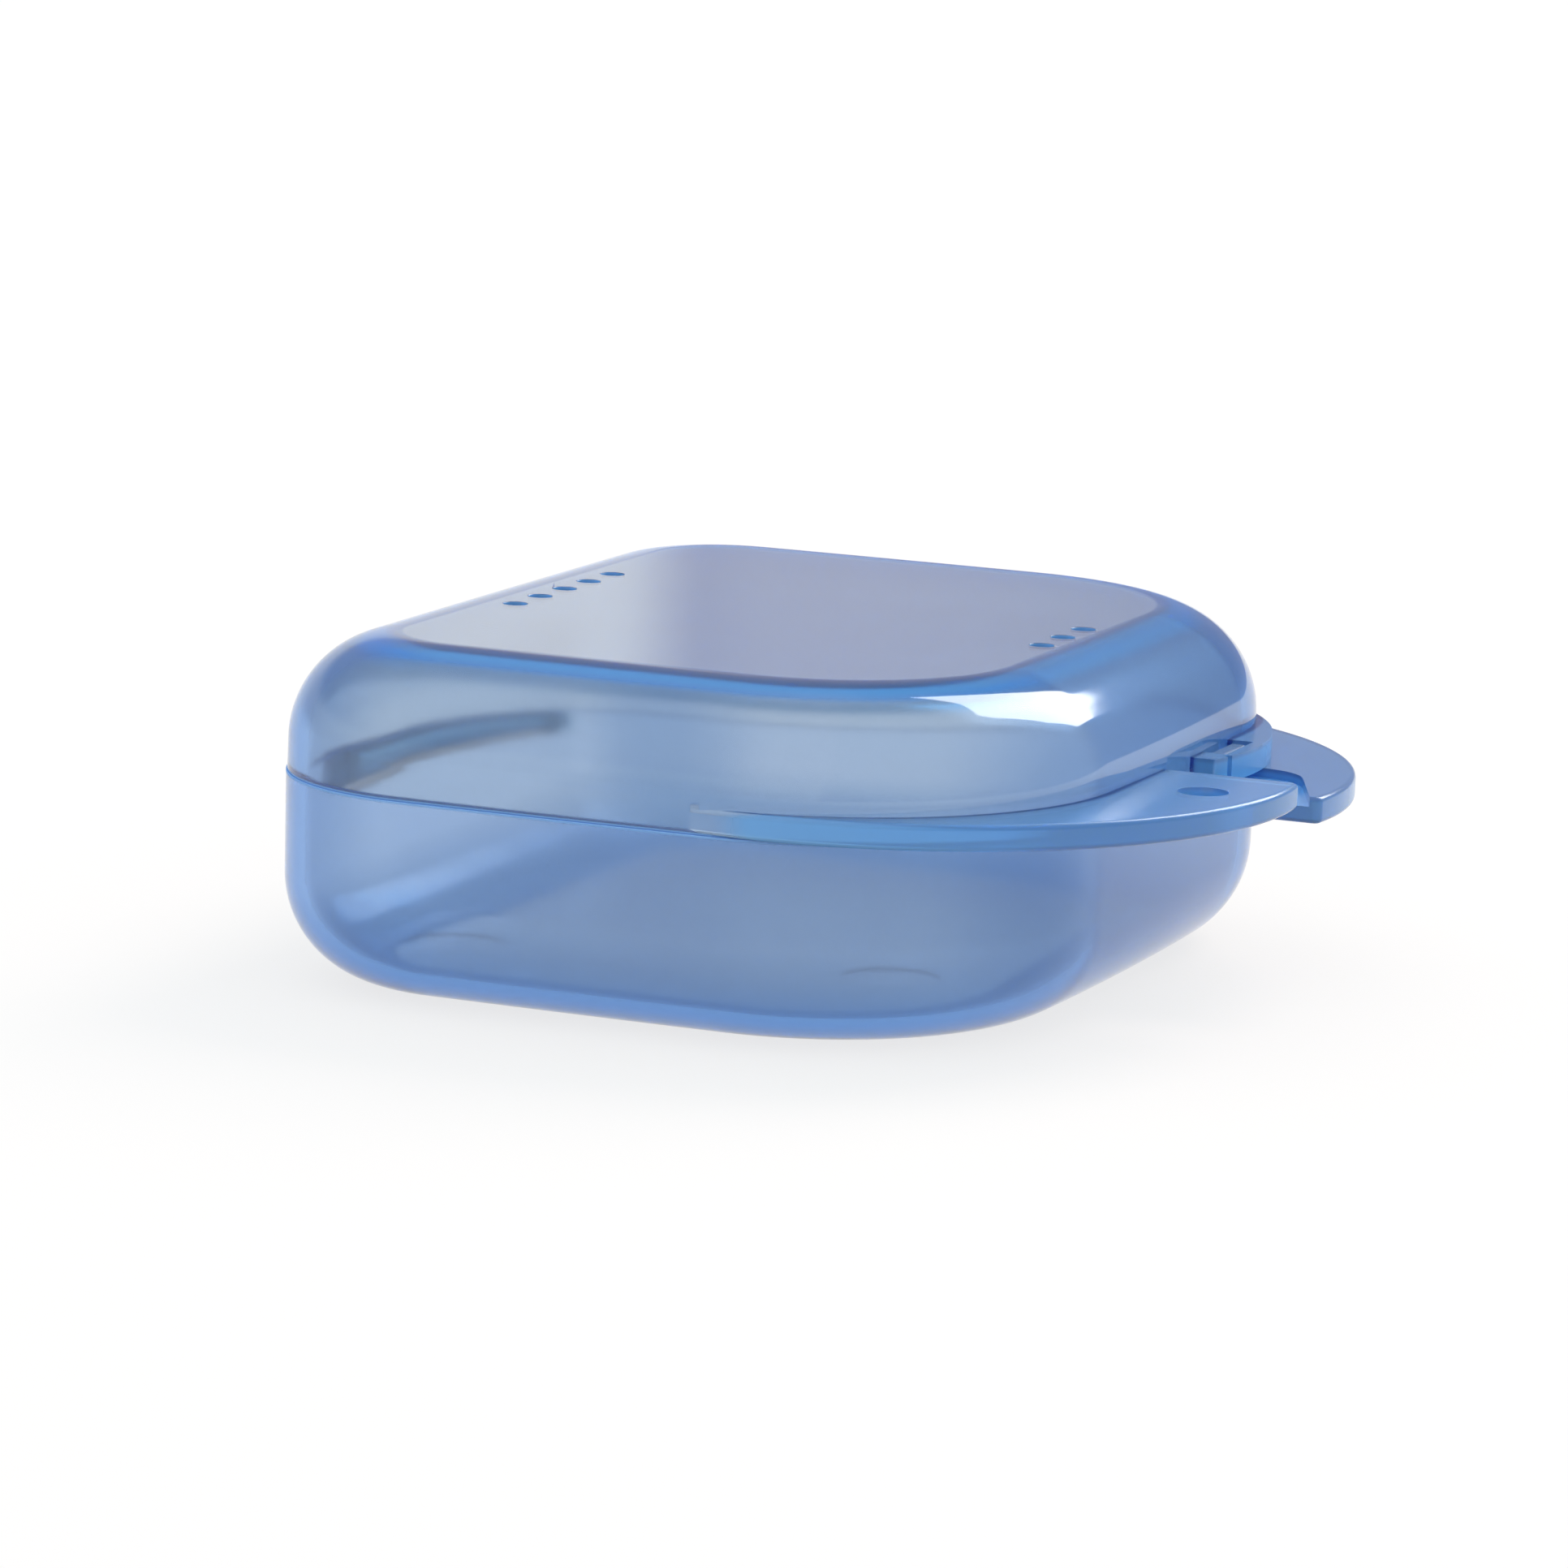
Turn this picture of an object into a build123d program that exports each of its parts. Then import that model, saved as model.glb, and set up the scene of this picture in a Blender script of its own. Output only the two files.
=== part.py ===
"""Hinged retainer case: two moulded shells, each with half of a thumb tab, on two hinge studs.

Millimetres. Z is up and the case stands on Z = 0, centred on X = Y = 0.
The hinge side is +Y, the latch side with the thumb tabs is -Y.
The lid's ear is on the -X half of the latch side and the base's tab on the +X half.
"""
from build123d import *
import math
import os

# Plan of the case, measured between the corners where the bulged sides would meet
case_width = 80.0
case_depth = 63.8
side_bulge = 0.63
latch_side_bulge = 1.70
hinge_side_bulge = 0.17
hinge_corner_radius = 15.6
latch_corner_radius = 24.7

# Heights and walls
case_height = 28.0
rim_height = 16.8
parting_gap = 0.15
wall = 1.6
floor_thickness = 1.6
roof_thickness = 1.6
base_edge_radius = 8.7
lid_edge_radius = 8.7
least_upright_wall = 2.3
draft_angle = 0.6
lid_inset = 0.10
rim_edge_round = 0.25

# Thumb tabs: flat plates beside the parting line, each with an arc-shaped front of its own
tab_reach = 11.3
tab_round = 0.45
tab_tip_round = 0.8
ear_radius = 33.1
ear_centre_x = -7.6
ear_thickness = 2.1
ear_cut_x = -3.9
ear_root_y = -9.5
base_tab_radius = 31.4
base_tab_centre_x = 5.6
base_tab_thickness = 2.2
base_tab_edge_x = 1.7

# Thumbnail recess in the top of the base tab, with a rim left along its front
recess_depth = 0.8
recess_end_x = 12.3
recess_rim_at_edge = 1.1
recess_rim_at_end = 5.3
recess_corner_radius = 4.5

# Narrow flange of the lid over the base tab, with a slot that the base's latch hook comes up through
flange_reach = 3.0
flange_radius = 26.9
flange_centre_x = 9.5
flange_end_x = 2.2
notch_x = 4.4
notch_width = 0.7
notch_depth = 0.9
hook_x = 8.5
hook_width = 6.0
hook_thickness = 1.0
hook_wall_clearance = 0.32
hook_side_clearance = 0.45
hook_bar_clearance = 0.25
hook_top_below_flange = 0.2
barb_height = 0.7
barb_overhang = 0.2
barb_clearance = 0.1
barb_front_clearance = 0.2

# Lanyard hole in the lid's ear
lanyard_hole_radius = 2.0
lanyard_hole_x = -12.0
lanyard_hole_from_front = 5.5

# Vent holes through the roof, one row near the hinge side and one near the latch side
vent_radius = 0.98
vent_pitch = 4.9
hinge_row_count = 5
hinge_row_from_side = 11.1
latch_row_count = 3
latch_row_from_side = 8.9

# Hinge: a barrel under the lid turns on two studs, each held in a knuckle of the base
hinge_length = 49.2
hinge_radius = 1.5
hinge_inset = 0.45
hinge_drop = 1.7
knuckle_length = 2.4
barrel_end_clearance = 0.25
barrel_wall_clearance = 0.3
stud_radius = 0.75
stud_running_clearance = 0.05
stud_in_knuckle = 1.9
stud_in_barrel = 2.4
socket_end_clearance = 0.3

# Two shallow round marks on the inner floor, one near the hinge side and one near the latch side
floor_mark_radius = 4.0
floor_mark_depth = 0.15
hinge_mark_x = -22.8
hinge_mark_y = 19.2
latch_mark_x = -16.7
latch_mark_y = -15.8

# Places that follow from the sizes above
half_width = case_width / 2
half_depth = case_depth / 2
hinge_wall_y = half_depth + hinge_side_bulge
latch_wall_y = -half_depth - latch_side_bulge
lid_bottom = rim_height + parting_gap
tab_front = tab_reach - latch_wall_y
flange_front = flange_reach - latch_wall_y
ear_top = lid_bottom + ear_thickness
base_round = min(base_edge_radius, rim_height - least_upright_wall)
lid_round = min(lid_edge_radius, case_height - lid_bottom - least_upright_wall)
hinge_y = hinge_wall_y - hinge_inset
hinge_z = rim_height - hinge_drop
knuckle_face = hinge_length / 2 - knuckle_length
barrel_half_length = knuckle_face - barrel_end_clearance
hook_inner_y = latch_wall_y - hook_wall_clearance
hook_outer_y = hook_inner_y - hook_thickness
slot_outer_y = hook_outer_y - hook_bar_clearance
barb_tip_y = slot_outer_y - barb_overhang
hook_top = ear_top - hook_top_below_flange
barb_bottom = hook_top - barb_height
reach = 10.0
same_place = 0.001


def outline(inset=0.0):
    """The plan of the case as a face on Z = 0, with bulged sides and rounded corners."""
    x = half_width - inset
    y = half_depth - inset
    sides = [
        ThreePointArc((-x, -y), (0, -y - latch_side_bulge), (x, -y)),
        ThreePointArc((x, -y), (x + side_bulge, 0), (x, y)),
        ThreePointArc((x, y), (0, y + hinge_side_bulge), (-x, y)),
        ThreePointArc((-x, y), (-x - side_bulge, 0), (-x, -y)),
    ]
    plan = make_face(sides)
    plan = fillet(plan.vertices().filter_by(lambda v: v.Y < 0), latch_corner_radius - inset)
    return fillet(plan.vertices().filter_by(lambda v: v.Y > y - 1), hinge_corner_radius - inset)


def bowl(inset, start, end, edge_radius, rim_round=0.0):
    """A drafted block from the plan at one height to another, with its far edge rounded."""
    shrink = abs(end - start) * math.tan(math.radians(draft_angle))
    near_plan = Pos(0, 0, start) * outline(inset)
    far_plan = Pos(0, 0, end) * outline(inset + shrink)
    block = loft([near_plan, far_plan], ruled=True)
    block = fillet(edges_at(block, end), edge_radius)
    return fillet(edges_at(block, start), rim_round) if rim_round else block


def edges_at(shape, height):
    """The edges of a shape that lie flat at one height."""
    def is_flat_there(edge):
        box = edge.bounding_box()
        return abs(box.min.Z - height) < same_place and abs(box.max.Z - height) < same_place
    return shape.edges().filter_by(is_flat_there)


def box_between(low, high):
    """A box given by its lowest and highest corners."""
    size = [b - a for a, b in zip(low, high)]
    middle = [(a + b) / 2 for a, b in zip(low, high)]
    return Pos(*middle) * Box(*size)


def plate(radius, centre_x, front, left, right, back=0.0):
    """The face of a plate with an arc-shaped front, between two limits in X and reaching back to a limit in Y."""
    disc = Pos(centre_x, -front + radius) * Circle(radius)
    window = Pos(left, -front) * Rectangle(right - left, front + back, align=Align.MIN)
    return disc & window


def rounded_tab(tab, radius, cut_x):
    """The tab with its tip and its free edges rounded."""
    def at_cut(edge):
        return abs(edge.center().X - cut_x) < same_place
    tip = tab.edges().filter_by(Axis.Z).filter_by(at_cut).sort_by(Axis.Y)[0]
    tab = fillet(tip, tab_tip_round)
    arcs = tab.edges().filter_by(GeomType.CIRCLE)
    front = arcs.filter_by(lambda e: abs(e.radius - radius) < same_place)
    corner = arcs.filter_by(lambda e: abs(e.radius - tab_tip_round) < same_place)
    side = tab.edges().filter_by(Axis.Y).filter_by(at_cut)
    return fillet(front + corner + side, tab_round)


def base_tab():
    """The base's half of the thumb tab, with the thumbnail recess in its top."""
    plan = plate(base_tab_radius, base_tab_centre_x, tab_front, base_tab_edge_x, half_width)
    tab = extrude(Pos(0, 0, rim_height) * plan, amount=-base_tab_thickness)
    tab = rounded_tab(tab, base_tab_radius, base_tab_edge_x)
    near = (base_tab_edge_x - reach, -tab_front + recess_rim_at_edge)
    edge = (base_tab_edge_x, -tab_front + recess_rim_at_edge)
    end = (recess_end_x, -tab_front + recess_rim_at_end)
    recess = make_face(Polyline(near, edge, end, (recess_end_x, reach), (near[0], reach), close=True))
    recess = fillet(recess.vertices().sort_by_distance(end)[0], recess_corner_radius)
    return tab - Pos(0, 0, rim_height - recess_depth) * extrude(recess, amount=reach)


def latch_hook():
    """The base's hook: an upright tongue from the tab's recess, with a barb on its front."""
    root = rim_height - recess_depth - tab_round
    profile = Polyline(
        (hook_inner_y, root),
        (hook_inner_y, hook_top),
        (hook_outer_y, hook_top),
        (barb_tip_y, hook_top - barb_height / 2),
        (barb_tip_y, barb_bottom),
        (hook_outer_y, barb_bottom),
        (hook_outer_y, root),
        close=True,
    )
    side = Plane(origin=(hook_x - hook_width / 2, 0, 0), x_dir=(0, 1, 0), z_dir=(1, 0, 0))
    return extrude(side * make_face(profile), amount=hook_width)


def lid_flange():
    """The lid's narrow flange over the base tab, with the hook's slot and a small notch."""
    plan = plate(flange_radius, flange_centre_x, flange_front, flange_end_x, half_width)
    flange = extrude(Pos(0, 0, lid_bottom) * plan, amount=ear_thickness)
    half_slot = hook_width / 2 + hook_side_clearance
    far_corner = (hook_x + half_slot, 0, ear_top)
    slot = box_between((hook_x - half_slot, slot_outer_y, lid_bottom), far_corner)
    ledge_y = barb_tip_y - barb_front_clearance
    ledge = box_between((hook_x - half_slot, ledge_y, barb_bottom - barb_clearance), far_corner)
    notch_start = (notch_x - notch_width / 2, -flange_front - reach, lid_bottom)
    notch = box_between(notch_start, (notch_x + notch_width / 2, -flange_front + notch_depth, ear_top))
    return flange - slot - ledge - notch


def lid_block():
    """The lid's outer form, without its hollow."""
    return bowl(lid_inset, lid_bottom, case_height, lid_round, rim_edge_round)


def lid_thumb_ear():
    """The lid's half of the thumb tab, with the lanyard hole, ending at the lid's wall."""
    plan = plate(ear_radius, ear_centre_x, tab_front, -half_width - reach, ear_cut_x, ear_root_y)
    ear = extrude(Pos(0, 0, lid_bottom) * plan, amount=ear_thickness)
    ear = rounded_tab(ear, ear_radius, ear_cut_x)
    hole = Cylinder(lanyard_hole_radius, reach)
    ear -= Pos(lanyard_hole_x, -tab_front + lanyard_hole_from_front, lid_bottom) * hole
    return ear - lid_block()


def along_x(radius, start, end):
    """A round bar on the hinge axis from one X to another."""
    bar = Rot(0, 90, 0) * Cylinder(radius, abs(end - start))
    return Pos((start + end) / 2, hinge_y, hinge_z) * bar


def stud(side):
    """One hinge stud, from inside the base's knuckle into the end of the lid's barrel."""
    inner_end = barrel_half_length - stud_in_barrel
    return along_x(stud_radius, side * inner_end, side * (knuckle_face + stud_in_knuckle))


def lid_barrel():
    """The lid's hinge barrel, with a web up to the lid's wall and a socket in each end."""
    web_plan = outline(lid_inset) - outline(lid_inset + wall)
    window = box_between((-barrel_half_length, 0, hinge_z), (barrel_half_length, case_depth, lid_bottom))
    web = extrude(Pos(0, 0, hinge_z) * web_plan, amount=lid_bottom - hinge_z) & window
    barrel = along_x(hinge_radius, -barrel_half_length, barrel_half_length) + web
    socket_end = barrel_half_length - stud_in_barrel - socket_end_clearance
    for side in (-1, 1):
        barrel -= along_x(stud_radius + stud_running_clearance, side * socket_end, side * hinge_length / 2)
    return barrel


def base_shell():
    """The base: a bowl with its tab, latch hook and hinge knuckles."""
    shell = bowl(0, rim_height, 0, base_round, rim_edge_round)
    shell += base_tab()
    shell -= bowl(wall, rim_height, floor_thickness, base_round - wall)
    shell += latch_hook()
    barrel_bed = hinge_z - hinge_radius - barrel_wall_clearance
    bed_start = (-knuckle_face, hinge_y - reach, barrel_bed)
    shell -= box_between(bed_start, (knuckle_face, hinge_y + reach, rim_height))
    for side in (-1, 1):
        shell += along_x(hinge_radius, side * knuckle_face, side * hinge_length / 2)
        shell -= along_x(stud_radius, 0, side * (knuckle_face + stud_in_knuckle))
    mark = Cylinder(floor_mark_radius, 2 * floor_mark_depth)
    for x, y in ((hinge_mark_x, hinge_mark_y), (latch_mark_x, latch_mark_y)):
        shell -= Pos(x, y, floor_thickness) * mark
    return shell


def vent_row(count, y):
    """A row of round holes through the roof."""
    hole = Cylinder(vent_radius, 2 * reach)
    return [Pos((i - (count - 1) / 2) * vent_pitch, y, case_height) * hole for i in range(count)]


def lid_shell():
    """The lid: a shallower bowl turned over, with its flange, hinge barrel and vent holes."""
    shell = lid_block() + lid_flange()
    shell -= bowl(lid_inset + wall, lid_bottom, case_height - roof_thickness, lid_round - wall)
    shell += lid_barrel()
    shell -= vent_row(hinge_row_count, half_depth - hinge_row_from_side)
    shell -= vent_row(latch_row_count, -half_depth + latch_row_from_side)
    return shell


def main():
    os.makedirs("parts", exist_ok=True)
    pieces = {
        "base_shell": base_shell(),
        "lid_shell": lid_shell(),
        "lid_thumb_ear": lid_thumb_ear(),
        "hinge_stud_left": stud(-1),
        "hinge_stud_right": stud(1),
    }
    for name, piece in pieces.items():
        export_step(piece, f"parts/{name}.step")


if __name__ == "__main__":
    main()
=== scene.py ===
"""Looks of a hinged retainer case: two clear blue mouldings and their hinge studs in a pale studio."""
import math

import bpy
from bpy.props import FloatProperty, FloatVectorProperty, IntProperty, PointerProperty
from mathutils import Matrix, Vector


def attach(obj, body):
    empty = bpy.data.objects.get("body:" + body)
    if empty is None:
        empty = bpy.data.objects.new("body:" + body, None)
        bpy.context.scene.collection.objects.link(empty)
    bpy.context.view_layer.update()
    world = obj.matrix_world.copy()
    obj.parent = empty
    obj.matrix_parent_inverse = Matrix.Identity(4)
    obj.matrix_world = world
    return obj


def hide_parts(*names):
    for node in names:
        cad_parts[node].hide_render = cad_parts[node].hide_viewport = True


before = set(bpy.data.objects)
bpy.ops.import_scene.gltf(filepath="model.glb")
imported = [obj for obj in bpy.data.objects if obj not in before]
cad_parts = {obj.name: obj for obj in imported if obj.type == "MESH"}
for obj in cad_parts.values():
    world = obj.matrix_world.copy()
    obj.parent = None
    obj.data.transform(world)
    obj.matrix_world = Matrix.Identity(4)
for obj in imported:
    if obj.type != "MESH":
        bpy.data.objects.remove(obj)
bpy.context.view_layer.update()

bl_info = {
    "name": "Retainer case",
    "version": (1, 0, 0),
    "blender": (4, 5, 0),
    "location": "3D View > Sidebar > Retainer case",
    "description": "Models the two clear mouldings of a hinged retainer case and its studio",
    "category": "Object",
}

MM = 0.001


# Settings

def size(name, millimetres, description):
    """A length property, given in millimetres."""
    return FloatProperty(name=name, description=description, default=millimetres * MM, min=0.0,
                         unit="LENGTH", precision=5)


def fraction(name, value, description):
    """A property between 0 and 1."""
    return FloatProperty(name=name, description=description, default=value, min=0.0, max=1.0,
                         subtype="FACTOR")


def bearing(name, degrees, description):
    """An angle property, given in degrees."""
    return FloatProperty(name=name, description=description, default=math.radians(degrees), subtype="ANGLE")


def paint(name, value, description):
    """A colour property."""
    return FloatVectorProperty(name=name, description=description, default=value, size=3, subtype="COLOR",
                               min=0.0, max=1.0)


class ShellSizes(bpy.types.PropertyGroup):
    """Sizes that the base and the lid share."""
    width: size("Width", 80.0, "Width between the corners where the bulged sides would meet")
    depth: size("Depth", 63.8, "Depth between the same corners")
    side_bulge: size("Side bulge", 0.63, "How far the left and right sides bulge out")
    latch_bulge: size("Latch side bulge", 1.7, "How far the latch side bulges out")
    hinge_bulge: size("Hinge side bulge", 0.17, "How far the hinge side bulges out")
    latch_corner: size("Latch corner radius", 24.7, "Plan radius of the corners on the latch side")
    hinge_corner: size("Hinge corner radius", 15.6, "Plan radius of the corners on the hinge side")
    height: size("Height", 28.0, "Height of the closed case")
    rim_height: size("Rim height", 16.8, "Height of the base's rim")
    parting_gap: size("Parting gap", 0.02, "Gap between the base's rim and the lid's rim")
    wall: size("Wall", 1.6, "Thickness of the walls, the floor and the roof")
    edge_radius: size("Edge radius", 8.7, "Radius of the round edges along the floor and the roof")
    lid_inset: size("Lid inset", 0.1, "How far the lid stands inside the base's outline")
    rim_round: size("Rim rounding", 0.06, "Rounding of the outer edges of the rims")
    rim_inner_round: size("Inner rim rounding", 0.15, "Rounding of the inner edges of the rims")
    draft: bearing("Draft", 0.6, "Lean of the moulded walls")
    points: IntProperty(name="Outline points", description="Points around the outline", default=288, min=48)


class TabSizes(bpy.types.PropertyGroup):
    """Sizes of the thumb tabs, the flange and the latch."""
    reach: size("Reach", 11.3, "How far both thumb tabs stand out of the latch side")
    rounding: size("Edge rounding", 0.45, "Rounding of the tabs' free edges")
    tip_rounding: size("Tip rounding", 0.8, "Plan rounding of the tabs' tips")
    ear_radius: size("Ear radius", 33.1, "Radius of the front of the lid's ear")
    ear_thickness: size("Ear thickness", 2.1, "Thickness of the lid's ear and flange")
    base_tab_radius: size("Base tab radius", 31.4, "Radius of the front of the base's tab")
    base_tab_thickness: size("Base tab thickness", 2.2, "Thickness of the base's tab")
    recess_depth: size("Recess depth", 0.8, "Depth of the thumbnail recess")
    flange_reach: size("Flange reach", 3.0, "How far the lid's flange stands out")
    flange_radius: size("Flange radius", 26.9, "Radius of the front of the lid's flange")
    hole_radius: size("Lanyard hole radius", 2.0, "Radius of the lanyard hole")
    hook_width: size("Hook width", 6.0, "Width of the base's latch hook")
    hook_thickness: size("Hook thickness", 1.0, "Thickness of the base's latch hook")


class DetailSizes(bpy.types.PropertyGroup):
    """Sizes of the vents, the hinge and the marks on the floor."""
    vent_radius: size("Vent radius", 0.98, "Radius of the vent holes")
    vent_pitch: size("Vent pitch", 4.9, "Distance between neighbouring vents")
    vent_round: size("Vent rounding", 0.12, "Rounding of the vents' edges")
    hinge_length: size("Hinge length", 49.2, "Length of the whole hinge")
    hinge_radius: size("Hinge radius", 1.5, "Radius of the barrel and the knuckles")
    hinge_inset: size("Hinge inset", 0.45, "Distance of the hinge axis inside the wall's face")
    hinge_drop: size("Hinge drop", 1.7, "Distance of the hinge axis below the rim")
    knuckle_length: size("Knuckle length", 2.4, "Length of each knuckle of the base")
    stud_radius: size("Stud radius", 0.75, "Radius of the hinge studs")
    mark_radius: size("Floor mark radius", 4.0, "Radius of the round marks on the inner floor")
    mark_depth: size("Floor mark depth", 0.15, "Depth of the round marks on the inner floor")


class PlasticLook(bpy.types.PropertyGroup):
    """Colours and finish of the clear plastic, with the tints of its painted shade and painted light."""
    base_tint: paint("Base tint", (0.71, 0.70, 0.74), "Colour of light through the base's surface")
    lid_tint: paint("Lid tint", (0.76, 0.71, 0.69), "Colour of light through the lid's surface")
    # Painted shade: the darker blue at the latch side, in the hinge corners, on edge-on walls and at the
    # base's bottom
    base_shade_tint: paint("Deep tint", (0.14, 0.29, 0.50), "The same at the base's bottom and where walls curve")
    # Painted shade: the darker blue along the lid's crease
    crease_shade_tint: paint("Crease tint", (0.11, 0.50, 0.88), "The same along the lid's crease")
    depth_tint: paint("Depth tint", (0.06, 0.54, 0.91), "Colour that the plastic takes where it is thick")
    density: FloatProperty(name="Density", description="Strength of the depth tint per metre of plastic",
                           default=240.0)
    roughness: fraction("Roughness", 0.04, "Roughness of the polished faces")
    haze: fraction("Haze", 0.07, "Added roughness of the inner faces")
    clearness: fraction("Clearness", 0.92, "Share of the light that a polished face lets through clearly")
    # Painted shade: below this height the base's colour darkens, and its flat floor is spared part of that
    shade_below: size("Deep below", 9.0, "Height below which the base's colour deepens")
    flat_floor_unshaded: fraction("Floor paleness", 0.9, "How much paler the base's flat floor stays")
    # Painted shade: how strongly the latch side, the hinge corners and edge-on walls darken
    base_latch_shade: fraction("Base latch depth", 0.5, "How much the base deepens at the latch side")
    lid_latch_shade: fraction("Lid latch depth", 0.5, "How much the lid deepens at the latch side")
    hinge_corner_shade: fraction("Hinge corner depth", 0.5, "How much both deepen in the hinge corners")
    edge_on_shade: fraction("Edge-on depth", 1.0, "How much both deepen where seen edge-on")
    ear_tint: paint("Ear tint", (0.25, 0.48, 0.74), "Colour of the lid's ear and flange")
    tab_tint: paint("Tab tint", (0.25, 0.39, 0.58), "Colour of the base's thumb tab")
    # Painted light: a lighter blue on the cut edges of the tab and the ear and in the vent bores
    edge_light_tint: paint("Edge tint", (0.30, 0.66, 1.0), "Colour of the edges of the tab, the ear and the vents")
    # Painted light: a paler blue than the ear's, which shows the barrel and the knuckles lighter than the
    # light inside the case makes them
    hinge_light_tint: paint("Hinge tint", (0.55, 0.88, 1.0), "Colour of the barrel and the knuckles")
    # Painted light: the pale blue of the soft line where the two rims meet
    rim_light_tint: paint("Rim tint", (0.38, 0.62, 1.0), "Colour of the two rims where they meet")
    satin_clearness: fraction("Satin clearness", 0.5, "Share of the light that the thick parts let through")
    satin_roughness: fraction("Satin roughness", 0.16, "Roughness of the thick parts")
    hinge_satin: fraction("Hinge satin", 0.75, "Satin share of the hinge")
    rim_matt: fraction("Rim matt", 0.8, "Matt share of the two rims")


class StudioLook(bpy.types.PropertyGroup):
    """Camera and light."""
    lens: FloatProperty(name="Lens", description="Focal length", default=154.58, unit="CAMERA")
    camera_place: FloatVectorProperty(name="Camera place", description="Where the camera stands",
                                      default=(-0.50346, -0.20213, 0.11132), size=3, subtype="TRANSLATION")
    camera_aim: FloatVectorProperty(name="Camera aim", description="Direction that the camera looks in",
                                    default=(0.91290764, 0.3677055, -0.17717876), size=3, subtype="DIRECTION")
    camera_roll: bearing("Camera roll", 2.0672, "Turn of the camera about its own axis")
    window_azimuth: bearing("Window azimuth", 75, "Direction of the bright window, from the latch side")
    window_elevation: bearing("Window elevation", 37, "Height of the window above the floor")
    window_distance: FloatProperty(name="Window distance", description="How far the window stands",
                                   default=1.6, subtype="DISTANCE")
    window_strength: FloatProperty(name="Window strength", description="How bright it shines", default=7.0)
    soft_light: paint("Soft light", (0.63, 0.83, 1.0), "Colour of the light from all around")
    far_wall: paint("Far wall", (0.52, 0.49, 0.61), "Colour of the studio that the case reflects")
    right_wall: paint("Right wall", (0.32, 0.33, 0.47), "Colour of the studio's darker side")
    left_wall: paint("Left wall", (0.98, 0.97, 0.97), "Colour of the studio's lighter side")
    floor_tone: paint("Floor tone", (0.257, 0.209, 0.180), "How pale the floor is where light falls on it")
    floor_glow: fraction("Floor glow", 0.77, "White that the floor shows besides the light on it")
    wall_top: fraction("Wall top", 0.2, "Height of the lighter side, as a share of its distance")
    wall_edge: bearing("Wall edge", 113, "Azimuth where the lighter side begins")


# Shader helpers

class Tree:
    """Adds nodes to one material or world."""

    def __init__(self, owner):
        owner.use_nodes = True
        self.nodes = owner.node_tree.nodes
        self.links = owner.node_tree.links
        self.nodes.clear()

    def put(self, socket, value):
        """Links a value that comes from a node, or sets a plain one."""
        if isinstance(value, Value):
            self.links.new(value.socket, socket)
        elif socket.type == "RGBA":
            socket.default_value = (*value, 1.0)
        else:
            socket.default_value = value

    def add(self, kind, settings=None, output=0, stops=None, **inputs):
        """Adds a node, its settings first and then its sockets' values or links, and gives one output."""
        node = self.nodes.new(kind)
        for name, value in (settings or {}).items():
            setattr(node, name, value)
        if stops:
            ramp = node.color_ramp.elements
            while len(ramp) < len(stops):
                ramp.new(0.5)
            for element, (place, colour) in zip(ramp, stops):
                element.position = place
                element.color = (*colour, 1.0)
        for name, value in inputs.items():
            key = int(name[1:]) if name[0] == "i" and name[1:].isdigit() else name.replace("_", " ")
            self.put(node.inputs[key], value)
        if node.outputs:
            return Value(self, node.outputs[output])

    def split(self, vector):
        """The three numbers of a vector."""
        node = self.add("ShaderNodeSeparateXYZ", i0=vector).socket.node
        return [Value(self, socket) for socket in node.outputs]

    def ease(self, value, start, end):
        """A soft step from 0 to 1 while a value goes from one limit to another."""
        return self.add("ShaderNodeMapRange", {"interpolation_type": "SMOOTHSTEP"}, Value=value,
                        From_Min=start, From_Max=end)

    def mix(self, share, first, second):
        """A colour between two others."""
        return self.add("ShaderNodeMix", {"data_type": "RGBA"}, output=2, i0=share, i6=first, i7=second)


class Value:
    """A number or colour that a node gives, for use in plain expressions."""

    def __init__(self, tree, socket):
        self.tree = tree
        self.socket = socket

    def combine(self, operation, first, second):
        return self.tree.add("ShaderNodeMath", {"operation": operation}, i0=first, i1=second)

    def __add__(self, other):
        return self.combine("ADD", self, other)

    def __sub__(self, other):
        return self.combine("SUBTRACT", self, other)

    def __mul__(self, other):
        return self.combine("MULTIPLY", self, other)

    def __radd__(self, other):
        return self.combine("ADD", other, self)

    def __rsub__(self, other):
        return self.combine("SUBTRACT", other, self)

    def __rmul__(self, other):
        return self.combine("MULTIPLY", other, self)

    def __abs__(self):
        return self.combine("ABSOLUTE", self, 0.0)

    def above(self, other):
        return self.combine("MAXIMUM", self, other)

    def below(self, other):
        return self.combine("MINIMUM", self, other)

    def root(self):
        return self.combine("POWER", self, 0.5)


# Limits between which one look of the plastic eases into another

INNER_DEPTH = (0.6 * MM, 1.2 * MM)  # below a moulding's outer face
FLAT_DISTANCE = (-8.9 * MM, -9.3 * MM)  # past the case's outline, on the floor and the roof
TAB_DISTANCE = (0.0, 0.4 * MM)  # past the case's outline, on the tabs
# Painted shade eases in towards the latch and into the hinge corners
LATCH_SHADE = (24 * MM, 33 * MM)  # towards the latch
HINGE_CORNER_SHADE = (1 * MM, 9 * MM)  # past the centre of a hinge corner, both ways
# Painted shade along the lid's crease eases in between these depths
CREASE_SHADE_START = (1.2 * MM, 0.4 * MM)  # below the roof's outer face
CREASE_SHADE_END = (0.01 * MM, 0.12 * MM)  # below the roof's outer face
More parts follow.
